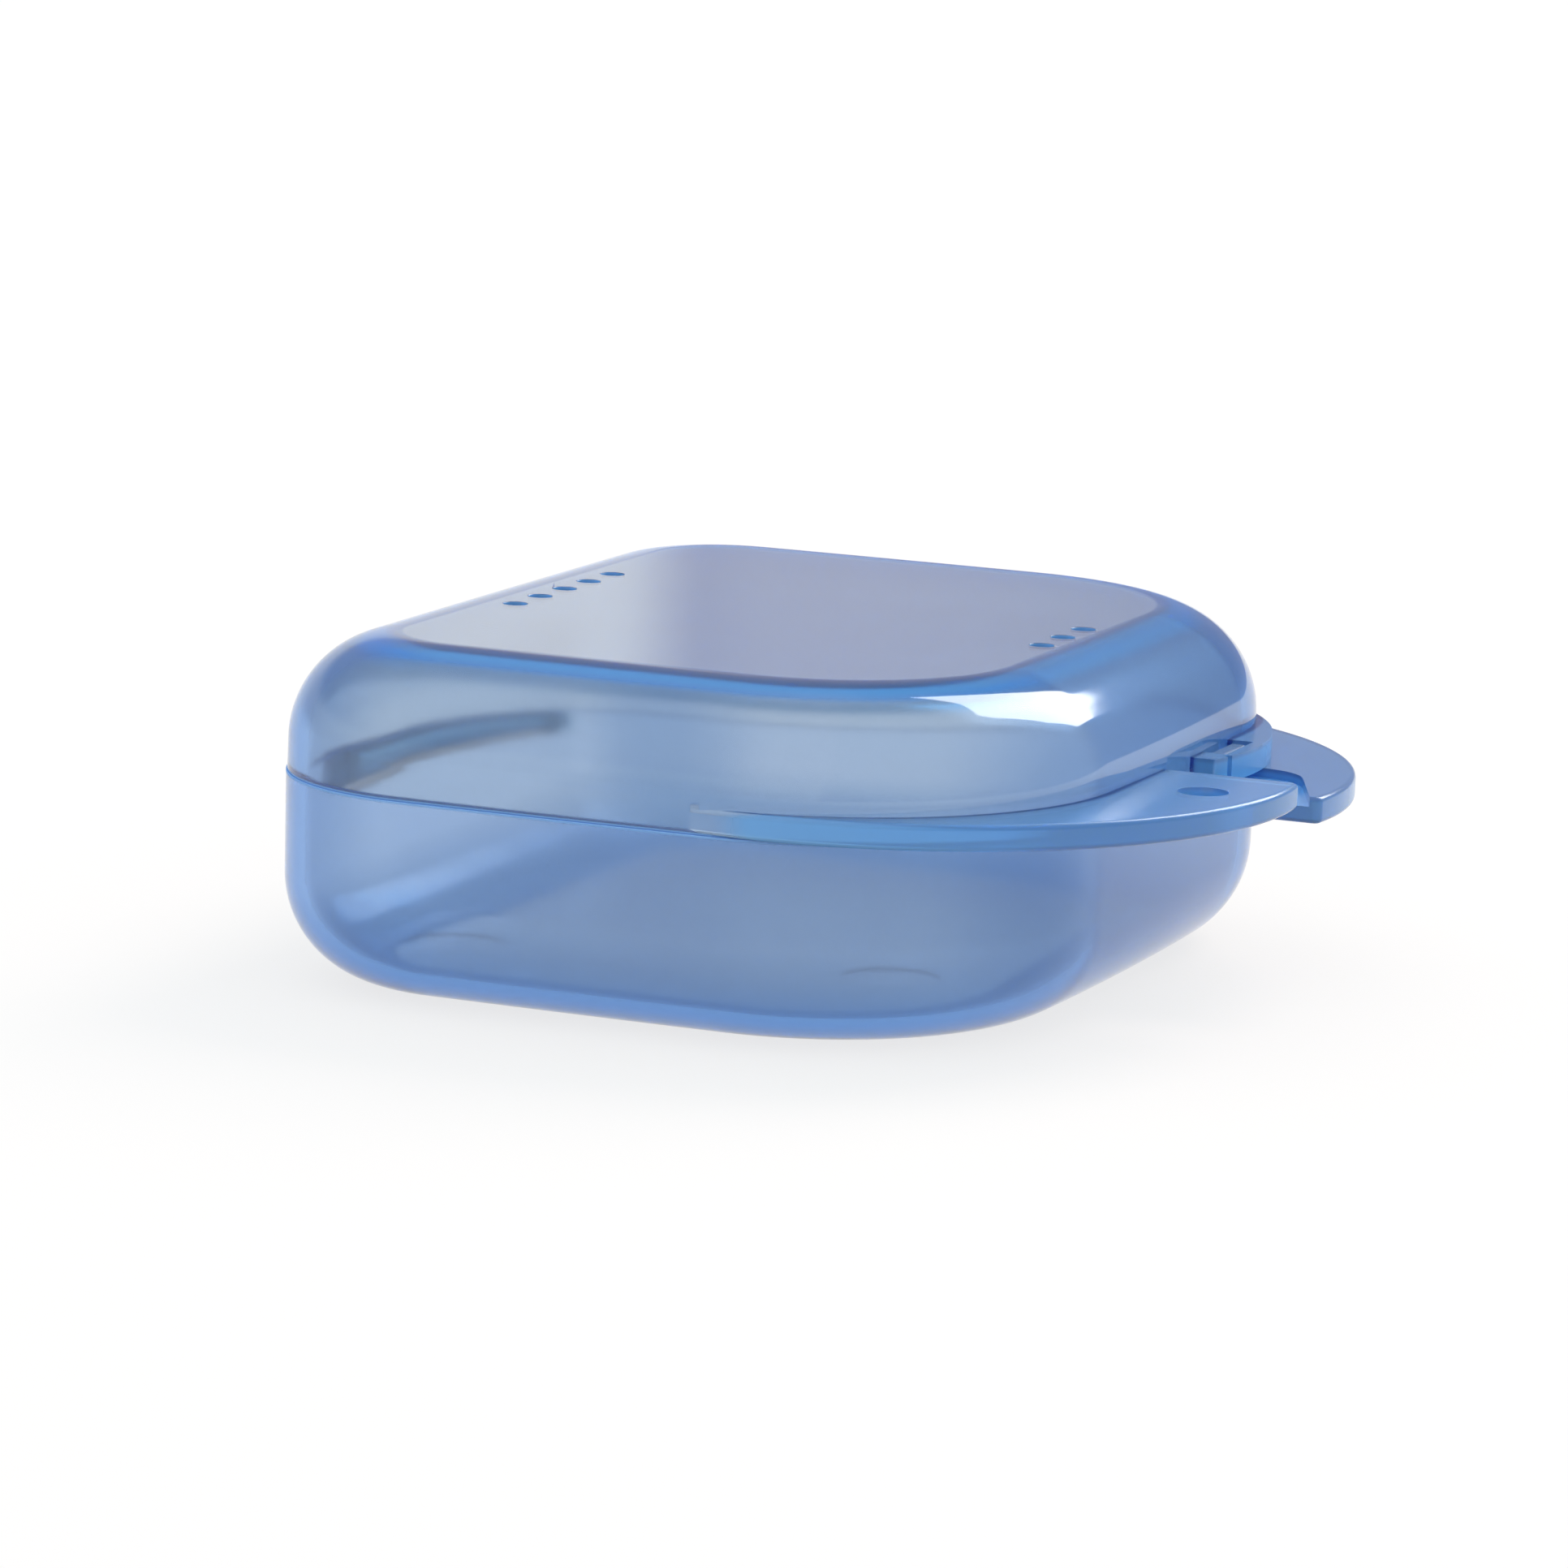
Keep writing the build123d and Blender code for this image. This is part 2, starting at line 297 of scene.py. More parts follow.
# Painted light on the vent bores and on the tab and ear edges eases in between these depths
VENT_START = (0.03 * MM, 0.1 * MM)  # above the roof's inner face
VENT_END = (0.01 * MM, 0.05 * MM)  # below the roof's outer face
TAB_EDGE = (0.1 * MM, 0.5 * MM)  # below the tab's or the ear's upper face
# Painted light along the parting line eases in between these heights
RIM_LIGHT_BAND = (0.25 * MM, 0.12 * MM)  # from the parting line, up and down
# Painted light on the hinge eases in past its ends, below the rim and near its lowest and nearest line
KNUCKLE_END = (0.3 * MM, 0.1 * MM)  # past the ends of the hinge
BARREL_TOP = 0.1 * MM  # below the rim
HINGE_EASE = 0.2 * MM  # before the hinge's lowest and nearest line
# Painted shade eases in on faces seen edge-on
EDGE_ON_SHADE = (0.35, 0.7)  # in how far a face turns away from the eye


# The clear plastic

PLASTIC_IOR = 1.53
SCUFF_ROUGHNESS = 0.03
SATIN_SCUFF_ROUGHNESS = 0.05


def past_corner(wide, long, half_width, half_depth, radius):
    """How far a place lies past the centre of a round corner along both sides, and past the outline."""
    side = (wide - (half_width - radius)).above(0.0)
    front = (long - (half_depth - radius)).above(0.0)
    return side, front, (side * side + front * front).root() - radius


class Zones:
    """Where a point of a moulding lies: shares that ease from 0 to 1 on the parts that look different, which
    also place the painted shade and the painted light.
    """

    def __init__(self, tree, place, scene, is_lid):
        shell, detail, look = scene.case_shell, scene.case_details, scene.case_plastic
        at = places(scene)
        x, y, z = tree.split(place)
        wide = abs(x)
        half_width = shell.width / 2 + shell.side_bulge
        latch_depth = shell.depth / 2 + shell.latch_bulge
        hinge_depth = shell.depth / 2 + shell.hinge_bulge
        latch_edge = past_corner(wide, 0.0 - y, half_width, latch_depth, shell.latch_corner)[2]
        side, front, hinge_edge = past_corner(wide, y, half_width, hinge_depth, shell.hinge_corner)
        distance = latch_edge.above(hinge_edge)
        top, rim = shell.height, shell.rim_height
        far = top - z if is_lid else z
        round_side = (distance + shell.edge_radius).above(0.0)
        round_far = (shell.edge_radius - far).above(0.0)
        depth = shell.edge_radius - (round_side * round_side + round_far * round_far).root()
        self.inner = tree.ease(depth, *INNER_DEPTH)
        self.flat = tree.ease(distance, *FLAT_DISTANCE)
        # Painted shade: masks for the latch side and the hinge corners
        self.latch_shade = tree.ease(0.0 - y, *LATCH_SHADE) * (1.0 - self.flat)
        self.hinge_corner = tree.ease(side.below(front), *HINGE_CORNER_SHADE)
        self.tab = tree.ease(distance, *TAB_DISTANCE)
        # Painted light: the tab's and the ear's cut edges
        tab_top = at["ear_top"] if is_lid else rim
        self.tab_edge = tree.ease(z, tab_top - TAB_EDGE[0], tab_top - TAB_EDGE[1])
        # Painted light: the band where the two rims meet
        above_rim = tree.ease(z, rim + RIM_LIGHT_BAND[0], rim + RIM_LIGHT_BAND[1])
        below_rim = tree.ease(z, rim - RIM_LIGHT_BAND[0], rim - RIM_LIGHT_BAND[1])
        self.rim = above_rim * below_rim * (1.0 - self.tab)
        if is_lid:
            # Painted shade: the band along the lid's crease
            crease = tree.ease(z, top - CREASE_SHADE_START[0], top - CREASE_SHADE_START[1])
            self.painted_shade = crease * tree.ease(z, top - CREASE_SHADE_END[0], top - CREASE_SHADE_END[1]) * (1.0 - self.flat)
            # Painted light: the vent bores take the edge colour
            roof = top - shell.wall
            in_roof = tree.ease(z, roof + VENT_START[0], roof + VENT_START[1])
            self.vents = self.flat * in_roof * tree.ease(z, top - VENT_END[0], top - VENT_END[1])
            self.tab_edge = self.tab_edge.above(self.vents)
            # Painted light: the barrel below the rim takes the hinge's paler blue
            self.hinge = tree.ease(z, rim, rim - BARREL_TOP)
        else:
            # Painted shade: darker towards the base's bottom, less on its flat floor
            self.painted_shade = tree.ease(z, look.shade_below, 0.0) * (1.0 - self.flat * look.flat_floor_unshaded)
            # Painted light: the knuckles take the hinge's paler blue
            nearest = at["hinge_y"] - detail.hinge_radius
            lowest = at["hinge_z"] - detail.hinge_radius
            end = detail.hinge_length / 2
            back = tree.ease(y, nearest - HINGE_EASE, nearest) * tree.ease(z, lowest - HINGE_EASE, lowest)
            self.hinge = back * tree.ease(wide, end + KNUCKLE_END[0], end + KNUCKLE_END[1])


def clear_plastic(name, scene, seed, is_lid=False):
    """Polished clear plastic: faint streaks of flow, a soft waviness, and colour that deepens with thickness.

    Painted shade: the tint deepens towards the base's bottom, along the lid's crease, at the latch side, in
    the hinge corners and where a wall is seen edge-on. Tabs, hinge and vents are satin: the light that enters
    these thick parts is scattered, which shows them as soft blue. Painted light: the cut edges of the tabs
    and the vents take a lighter blue, the hinge a paler blue than the ear, and the two rims are nearly matt
    and pale blue.
    """
    look = scene.case_plastic
    material = bpy.data.materials.new(name)
    tree = Tree(material)
    place = tree.add("ShaderNodeTexCoord", output="Object")
    zone = Zones(tree, place, scene, is_lid)
    moved = tree.add("ShaderNodeMapping", Vector=place, Location=(seed, 0.3 * seed, 0.0))
    flow = tree.add("ShaderNodeTexNoise", output="Fac", Vector=moved, Scale=28.0, Detail=3.0, Roughness=0.45)
    wave = tree.add("ShaderNodeTexNoise", output="Fac", Vector=moved, Scale=55.0, Detail=1.0)
    scuff = tree.add("ShaderNodeTexNoise", output="Fac", Vector=moved, Scale=210.0, Detail=4.0)
    bump = tree.add("ShaderNodeBump", Height=wave, Strength=0.06, Distance=0.4 * MM)

    def streaked(tone):
        full = tuple(0.975 * c for c in tone)
        pale = tuple(min(1.0, 1.015 * c) for c in tone)
        return tree.add("ShaderNodeValToRGB", output="Color", stops=[(0.35, full), (0.65, pale)], Fac=flow)

    # Painted shade: the latch side, the hinge corners and edge-on faces take the darker blue
    latch_shade = zone.latch_shade * (look.lid_latch_shade if is_lid else look.base_latch_shade)
    facing = tree.add("ShaderNodeLayerWeight", output="Facing", Blend=0.5)
    edge_on_shade_mask = tree.ease(facing, *EDGE_ON_SHADE) * (1.0 - zone.flat) * (1.0 - zone.inner) * look.edge_on_shade
    shaded_curves = latch_shade.above(zone.hinge_corner * look.hinge_corner_shade).above(edge_on_shade_mask)
    tint = tree.mix(shaded_curves, streaked(look.lid_tint if is_lid else look.base_tint), look.base_shade_tint)
    # Painted shade: the darker blue at the base's bottom and along the lid's crease
    tint = tree.mix(zone.painted_shade, tint, look.crease_shade_tint if is_lid else look.base_shade_tint)
    polish = look.roughness + SCUFF_ROUGHNESS * scuff + zone.inner * look.haze
    clear = tree.add("ShaderNodeBsdfPrincipled", Base_Color=tint, Roughness=polish, Normal=bump,
                     IOR=PLASTIC_IOR, Transmission_Weight=look.clearness)

    # Painted light: a lighter blue on the cut edges and in the vents
    thick = tree.mix(zone.tab_edge, streaked(look.ear_tint if is_lid else look.tab_tint), look.edge_light_tint)
    # Painted light: the paler blue of the barrel and the knuckles
    thick = tree.mix(zone.hinge, thick, look.hinge_light_tint)
    satin = tree.add("ShaderNodeBsdfPrincipled", Base_Color=thick, Normal=bump, IOR=PLASTIC_IOR,
                     Roughness=look.satin_roughness + SATIN_SCUFF_ROUGHNESS * scuff,
                     Transmission_Weight=look.satin_clearness)
    satin_share = zone.tab.above(zone.hinge * look.hinge_satin)
    if is_lid:
        satin_share = satin_share.above(zone.vents)
    mixed = tree.add("ShaderNodeMixShader", i0=satin_share, i1=clear, i2=satin)

    # Painted light: the rims where they meet are matt and pale blue
    matt = tree.add("ShaderNodeBsdfDiffuse", Color=look.rim_light_tint)
    surface = tree.add("ShaderNodeMixShader", i0=zone.rim * look.rim_matt, i1=mixed, i2=matt)
    inside = tree.add("ShaderNodeVolumeAbsorption", Color=look.depth_tint, Density=look.density)
    tree.add("ShaderNodeOutputMaterial", Surface=surface, Volume=inside)
    return material


# Outline of the case

def corner_centre(side_centre, side_reach, end_centre, end_reach, towards):
    """The centre of a round corner between two bulged sides: where two circles meet, towards that corner."""
    gap = end_centre - side_centre
    distance = gap.length
    along = (side_reach ** 2 - end_reach ** 2 + distance ** 2) / (2 * distance)
    across = math.sqrt(max(0.0, side_reach ** 2 - along ** 2))
    unit = gap / distance
    foot = side_centre + unit * along
    turn = Vector((-unit.y, unit.x)) * across
    return min((foot + turn, foot - turn), key=lambda p: (p - towards).length)


def outline_points(sizes, inset, count):
    """Points evenly spaced around the plan, anticlockwise: four bulged sides and four round corners."""
    x = sizes.width / 2 - inset
    y = sizes.depth / 2 - inset
    bulges = (sizes.latch_bulge, sizes.side_bulge, sizes.hinge_bulge, sizes.side_bulge)
    halves = (x, y, x, y)
    reaches = [(half ** 2 + bulge ** 2) / (2 * bulge) for half, bulge in zip(halves, bulges)]
    centres = [Vector((0, -y - bulges[0] + reaches[0])), Vector((x + bulges[1] - reaches[1], 0)),
               Vector((0, y + bulges[2] - reaches[2])), Vector((-x - bulges[3] + reaches[3], 0))]
    corners = [Vector((x, -y)), Vector((x, y)), Vector((-x, y)), Vector((-x, -y))]
    rounds = [sizes.latch_corner - inset, sizes.hinge_corner - inset, sizes.hinge_corner - inset,
              sizes.latch_corner - inset]
    joints = []
    for i, (corner, rounding) in enumerate(zip(corners, rounds)):
        j = (i + 1) % 4
        centre = corner_centre(centres[i], reaches[i] - rounding, centres[j], reaches[j] - rounding, corner)
        enter = centres[i] + (centre - centres[i]).normalized() * reaches[i]
        leave = centres[j] + (centre - centres[j]).normalized() * reaches[j]
        joints.append((centre, rounding, enter, leave))
    arcs = []
    for i in range(4):
        arcs.append((centres[i], reaches[i], joints[i - 1][3], joints[i][2]))
        arcs.append(joints[i])
    turns = []
    for centre, radius, begin, end in arcs:
        first = math.atan2(begin.y - centre.y, begin.x - centre.x)
        last = math.atan2(end.y - centre.y, end.x - centre.x)
        turns.append((first, (last - first) % (2 * math.pi)))
    lengths = [radius * turn for (_, radius, _, _), (_, turn) in zip(arcs, turns)]
    total = sum(lengths)
    points = []
    for k in range(count):
        rest = total * k / count
        i = 0
        while rest > lengths[i]:
            rest -= lengths[i]
            i += 1
        centre, radius = arcs[i][:2]
        angle = turns[i][0] + rest / radius
        points.append((centre.x + radius * math.cos(angle), centre.y + radius * math.sin(angle)))
    return points


# Modelling helpers

EXACTLY = 1e-7  # how near a coordinate has to be where no cut has moved it
NEARLY = 1e-6  # how near it has to be after cuts
ON_CIRCLE = 0.01 * MM  # how near a point has to be to a round hole's edge
CORNER_STEPS = 8
FRONT_STEPS = 90
MOUTH_STEPS = 4
EDGE_STEPS = 24
MERGE = 0.002 * MM
SLIVER = 0.001 * MM
SHARP_ANGLE = math.radians(28)
PAST = 1 * MM  # how far a cutter reaches past what it cuts


def deselect():
    if bpy.context.object and bpy.context.object.mode != "OBJECT":
        bpy.ops.object.mode_set(mode="OBJECT")
    bpy.ops.object.select_all(action="DESELECT")


def take(piece):
    """Selects one piece alone and makes it the active one."""
    deselect()
    piece.select_set(True)
    bpy.context.view_layer.objects.active = piece


def pick(piece, kind, test):
    """Selects just the edges or faces of a piece that pass a test, and leaves it in edit mode."""
    bpy.ops.object.mode_set(mode="EDIT")
    bpy.ops.mesh.select_mode(type=kind)
    bpy.ops.mesh.select_all(action="DESELECT")
    bpy.ops.object.mode_set(mode="OBJECT")
    mesh = piece.data
    for element in {"EDGE": mesh.edges, "FACE": mesh.polygons}[kind]:
        element.select = test([mesh.vertices[i].co for i in element.vertices])
    bpy.ops.object.mode_set(mode="EDIT")


def lies_at(corners, axis, value, within=EXACTLY):
    """Whether all corners of an edge or a face have the same place along one axis."""
    return all(abs(getattr(corner, axis) - value) < within for corner in corners)


def free_edges(ends, back):
    """A test for the edges of a plate's two faces, apart from those at its back."""
    return lambda corners: any(lies_at(corners, "z", z) for z in ends) and not lies_at(corners, "y", back)


def hole_edges(holes, radius, ends, within=EXACTLY):
    """A test for the edges at both ends of round upright holes."""
    def test(corners):
        if not any(lies_at(corners, "z", z, within) for z in ends):
            return False
        return any(all(abs((c.xy - hole).length - radius) < ON_CIRCLE for c in corners) for hole in holes)
    return test


def settle(piece):
    """Back to object mode, with the piece's place in its mesh."""
    bpy.ops.object.mode_set(mode="OBJECT")
    bpy.ops.object.transform_apply(location=True, rotation=True, scale=True)
    return piece


def outward(piece):
    """Turns the faces of a closed piece outwards."""
    pick(piece, "FACE", lambda corners: True)
    bpy.ops.mesh.normals_make_consistent(inside=False)
    bpy.ops.object.mode_set(mode="OBJECT")


def box(name, low, high):
    """A box between two corners."""
    deselect()
    middle = [(a + b) / 2 for a, b in zip(low, high)]
    bpy.ops.mesh.primitive_cube_add(size=1, location=middle)
    piece = bpy.context.object
    piece.name = name
    piece.scale = [b - a for a, b in zip(low, high)]
    return settle(piece)


def rod(name, radius, start, end, points=48):
    """A round bar from one point to another."""
    deselect()
    start, end = Vector(start), Vector(end)
    bpy.ops.mesh.primitive_cylinder_add(vertices=points, radius=radius, depth=(end - start).length,
                                        location=(start + end) / 2)
    piece = bpy.context.object
    piece.name = name
    piece.rotation_mode = "QUATERNION"
    piece.rotation_quaternion = (end - start).to_track_quat("Z", "Y")
    return settle(piece)


def boolean(piece, operation, *others):
    """Joins other closed pieces to a piece, cuts them out of it, or keeps what they share with it."""
    for other in others:
        take(piece)
        step = piece.modifiers.new("step", "BOOLEAN")
        step.operation = operation
        step.solver = "EXACT"
        step.object = other
        bpy.ops.object.modifier_apply(modifier=step.name)
        bpy.data.objects.remove(other)
    return piece


def prism(name, points, start, end, along="Z"):
    """A straight piece with a drawn cross-section: in X and Y along Z, or in Y and Z along X."""
    deselect()
    bpy.ops.mesh.primitive_circle_add(vertices=len(points), radius=1, fill_type="NGON")
    piece = bpy.context.object
    piece.name = name
    shift = end - start
    for vertex, (a, b) in zip(piece.data.vertices, points):
        vertex.co = (a, b, start) if along == "Z" else (start, a, b)
    pick(piece, "FACE", lambda corners: True)
    way = (0, 0, shift) if along == "Z" else (shift, 0, 0)
    bpy.ops.mesh.extrude_region_move(TRANSFORM_OT_translate={"value": way})
    outward(piece)
    return piece


def bevel(piece, width, segments, test):
    """Rounds the edges of a piece that pass a test."""
    take(piece)
    pick(piece, "EDGE", test)
    bpy.ops.mesh.bevel(offset=width, segments=segments)
    bpy.ops.object.mode_set(mode="OBJECT")
    return piece


def rounded(points, radii):
    """A drawn outline with some of its corners rounded."""
    result = []
    for i, (point, radius) in enumerate(zip(points, radii)):
        here = Vector(point)
        if not radius:
            result.append(tuple(here))
            continue
        back = (Vector(points[i - 1]) - here).normalized()
        ahead = (Vector(points[(i + 1) % len(points)]) - here).normalized()
        half = back.angle(ahead) / 2
        centre = here + (back + ahead).normalized() * radius / math.sin(half)
        first = here + back * radius / math.tan(half) - centre
        turn = first.angle_signed(here + ahead * radius / math.tan(half) - centre)
        for k in range(CORNER_STEPS + 1):
            spin = Matrix.Rotation(-turn * k / CORNER_STEPS, 2)
            result.append(tuple(centre + spin @ first))
    return result


def tab_outline(radius, centre_x, front, cut_x, back_y, tip, side):
    """A plate with an arc-shaped front and a straight cut: side is -1 for the left tab, 1 for the right."""
    full = 2 * math.pi
    centre = Vector((centre_x, radius - front))
    inner = radius - tip
    tip_x = cut_x + side * tip
    tip_centre = Vector((tip_x, centre.y - math.sqrt(inner ** 2 - (tip_x - centre_x) ** 2)))
    touch = (tip_centre - centre).normalized()
    first = math.atan2(touch.y, touch.x)
    last_x = side * math.sqrt(radius ** 2 - (back_y - centre.y) ** 2)
    last = math.atan2(back_y - centre.y, last_x)
    if side > 0:
        tip_start, tip_turn, turn = math.pi, (first - math.pi) % full, (last - first) % full
    else:
        tip_start, tip_turn, turn = 0.0, -((-first) % full), -((first - last) % full)
    points = []
    for k in range(CORNER_STEPS):
        angle = tip_start + tip_turn * k / CORNER_STEPS
        points.append((tip_centre.x + tip * math.cos(angle), tip_centre.y + tip * math.sin(angle)))
    for k in range(FRONT_STEPS + 1):
        angle = first + turn * k / FRONT_STEPS
        points.append((centre.x + radius * math.cos(angle), centre.y + radius * math.sin(angle)))
    points.append((cut_x, back_y))
    return points


def round_block(name, sizes, inset, start, end, radius, rim_round=0.0, mouth_round=None):
    """A block on the case's plan from a rim to a flat far face, drafted, with its far edge rounded.

    It is raised from the rim by insetting its top face again and again, then stood at its own height. With a
    mouth rounding it is a cutter: it starts below the rim and flares there, to round the inner edge.
    """
    height = abs(end - start)
    lean = math.tan(sizes.draft)
    upright = height - radius
    arc_inset = upright * lean + radius / math.cos(sizes.draft)
    if mouth_round is None:
        below = 0.0
        profile = [(0.0, 2 * rim_round)]
    else:
        below = PAST
        turns = [math.pi / 2 / MOUTH_STEPS * k for k in range(MOUTH_STEPS + 1)]
        profile = [(mouth_round * (math.sin(a) - 1), mouth_round * (1 - math.cos(a))) for a in turns]
    profile.append((0.5 * upright * lean, 0.5 * upright))
    for k in range(EDGE_STEPS + 1):
        angle = sizes.draft + (math.pi / 2 - sizes.draft) * k / EDGE_STEPS
        profile.append((arc_inset - radius * math.cos(angle), upright + radius * math.sin(angle)))
    deselect()
    bpy.ops.mesh.primitive_circle_add(vertices=sizes.points, radius=1, fill_type="NGON")
    piece = bpy.context.object
    piece.name = name
    outline = outline_points(sizes, inset + profile[0][0], sizes.points)
    for vertex, (x, y) in zip(piece.data.vertices, outline):
        vertex.co = (x, y, -below)
    pick(piece, "FACE", lambda corners: True)
    bpy.ops.mesh.extrude_region_move(TRANSFORM_OT_translate={"value": (0, 0, profile[0][1] + below)})
    for before, after in zip(profile, profile[1:]):
        bpy.ops.mesh.inset(thickness=after[0] - before[0], depth=after[1] - before[1], use_even_offset=True)
    bpy.ops.object.mode_set(mode="OBJECT")
    side = 1 if end > start else -1
    for vertex in piece.data.vertices:
        vertex.co.z = start + side * vertex.co.z
    outward(piece)
    if rim_round:
        bevel(piece, rim_round, 4, lambda corners: lies_at(corners, "z", start))
    return piece


def finished(piece, name, material, body, slot, *nodes):
    """Cleans a moulding, shades it and puts it in its body's place of the given CAD nodes."""
    take(piece)
    piece.name = name
    piece.data.name = name
    pick(piece, "FACE", lambda corners: True)
    bpy.ops.mesh.remove_doubles(threshold=MERGE)
    bpy.ops.mesh.dissolve_degenerate(threshold=SLIVER)
    bpy.ops.object.mode_set(mode="OBJECT")
    bpy.ops.object.shade_smooth_by_angle(angle=SHARP_ANGLE)
    even = piece.modifiers.new("even", "WEIGHTED_NORMAL")
    even.mode = "FACE_AREA"
    even.weight = 100
    even.keep_sharp = True
    bpy.ops.object.modifier_apply(modifier=even.name)
    piece.data.materials.clear()
    piece.data.materials.append(material)
    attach(piece, body)
    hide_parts(*nodes)


# Small sizes and places of the two mouldings, in the case's frame

FACE_STEP = 0.004 * MM  # keeps faces apart that would coincide where two shapes are joined
BASE_TAB_MIDDLE = 5.6 * MM
BASE_TAB_CUT = 1.7 * MM
RECESS_START = -8 * MM
RECESS_FRONT = 1.1 * MM  # behind the tab's front
RECESS_END = 12.3 * MM
RECESS_BACK = 5.3 * MM  # behind the tab's front
RECESS_CORNER = 4.5 * MM
EAR_MIDDLE = -7.6 * MM
EAR_CUT = -3.9 * MM
EAR_BACK = -4.0 * MM
HOLE_ACROSS = -12.0 * MM
HOLE_BEHIND = 5.5 * MM  # behind the ear's front
HOLE_ROUND = 0.12 * MM
FLANGE_MIDDLE = 9.5 * MM
FLANGE_CUT = 2.2 * MM
FLANGE_TIP = 0.3 * MM
NOTCH_SIDES = (4.05 * MM, 4.75 * MM)
NOTCH_DEPTH = 0.9 * MM
NOTCH_START = -40 * MM
HOOK_MIDDLE = 8.5 * MM
HOOK_STANDOFF = 0.32 * MM  # in front of the latch wall
HOOK_DROP = 0.2 * MM  # below the ear's upper face
HOOK_ROOT = 0.45 * MM  # below the recess
HOOK_ROUND = 0.08 * MM
ABOVE_ROOT = 0.1 * MM
BARB_REACH = 0.45 * MM
BARB_SLOPE = 0.35 * MM
BARB_HEIGHT = 0.7 * MM
SLOT_SIDE_GAP = 0.45 * MM
SLOT_FRONT_GAP = 0.25 * MM
SLOT_BACK = -25 * MM
LEDGE_REACH = 0.4 * MM
LEDGE_DROP = 1.0 * MM
KNUCKLE_POINTS = 60
KNUCKLE_ROUND = 0.12 * MM
BED_GAP = 0.3 * MM
BED_REACH = 5 * MM
BASE_SOCKET_GAP = 0.02 * MM
BASE_SOCKET_DEPTH = 1.92 * MM
LID_SOCKET_GAP = 0.05 * MM
LID_SOCKET_DEPTH = 2.7 * MM
BARREL_GAP = 0.25 * MM  # between the barrel's end and the knuckle
WEB_INSET = 0.03 * MM
WEB_OVERLAP = 0.06 * MM
WEB_RISE = 0.5 * MM
WEB_REGION = (20 * MM, 40 * MM)
FLOOR_MARKS = ((-22.8 * MM, 19.2 * MM), (-16.7 * MM, -15.8 * MM))
MARK_POINTS = 96
HOLE_POINTS = 64
VENT_POINTS = 40
VENT_CUT = 5 * MM  # how far below the roof's top a vent's cutter starts
HINGE_ROW_INSET = 11.1 * MM
LATCH_ROW_INSET = 8.9 * MM


def places(scene):
    """Places that both mouldings and the hinge follow from the sizes."""
    shell, tab, detail = scene.case_shell, scene.case_tabs, scene.case_details
    latch_wall = shell.depth / 2 + shell.latch_bulge
    lid_bottom = shell.rim_height + shell.parting_gap
    return {
        "tab_front": latch_wall + tab.reach,
        "flange_front": latch_wall + tab.flange_reach,
        "lid_bottom": lid_bottom,
        "ear_top": lid_bottom + tab.ear_thickness,
        "hook_inner": -latch_wall - HOOK_STANDOFF,
        "hook_outer": -latch_wall - HOOK_STANDOFF - tab.hook_thickness,
        "hinge_y": shell.depth / 2 + shell.hinge_bulge - detail.hinge_inset,
        "hinge_z": shell.rim_height - detail.hinge_drop,
        "knuckle_face": detail.hinge_length / 2 - detail.knuckle_length,
    }


# Operators: one for each moulding, one for the studs, one for the stage

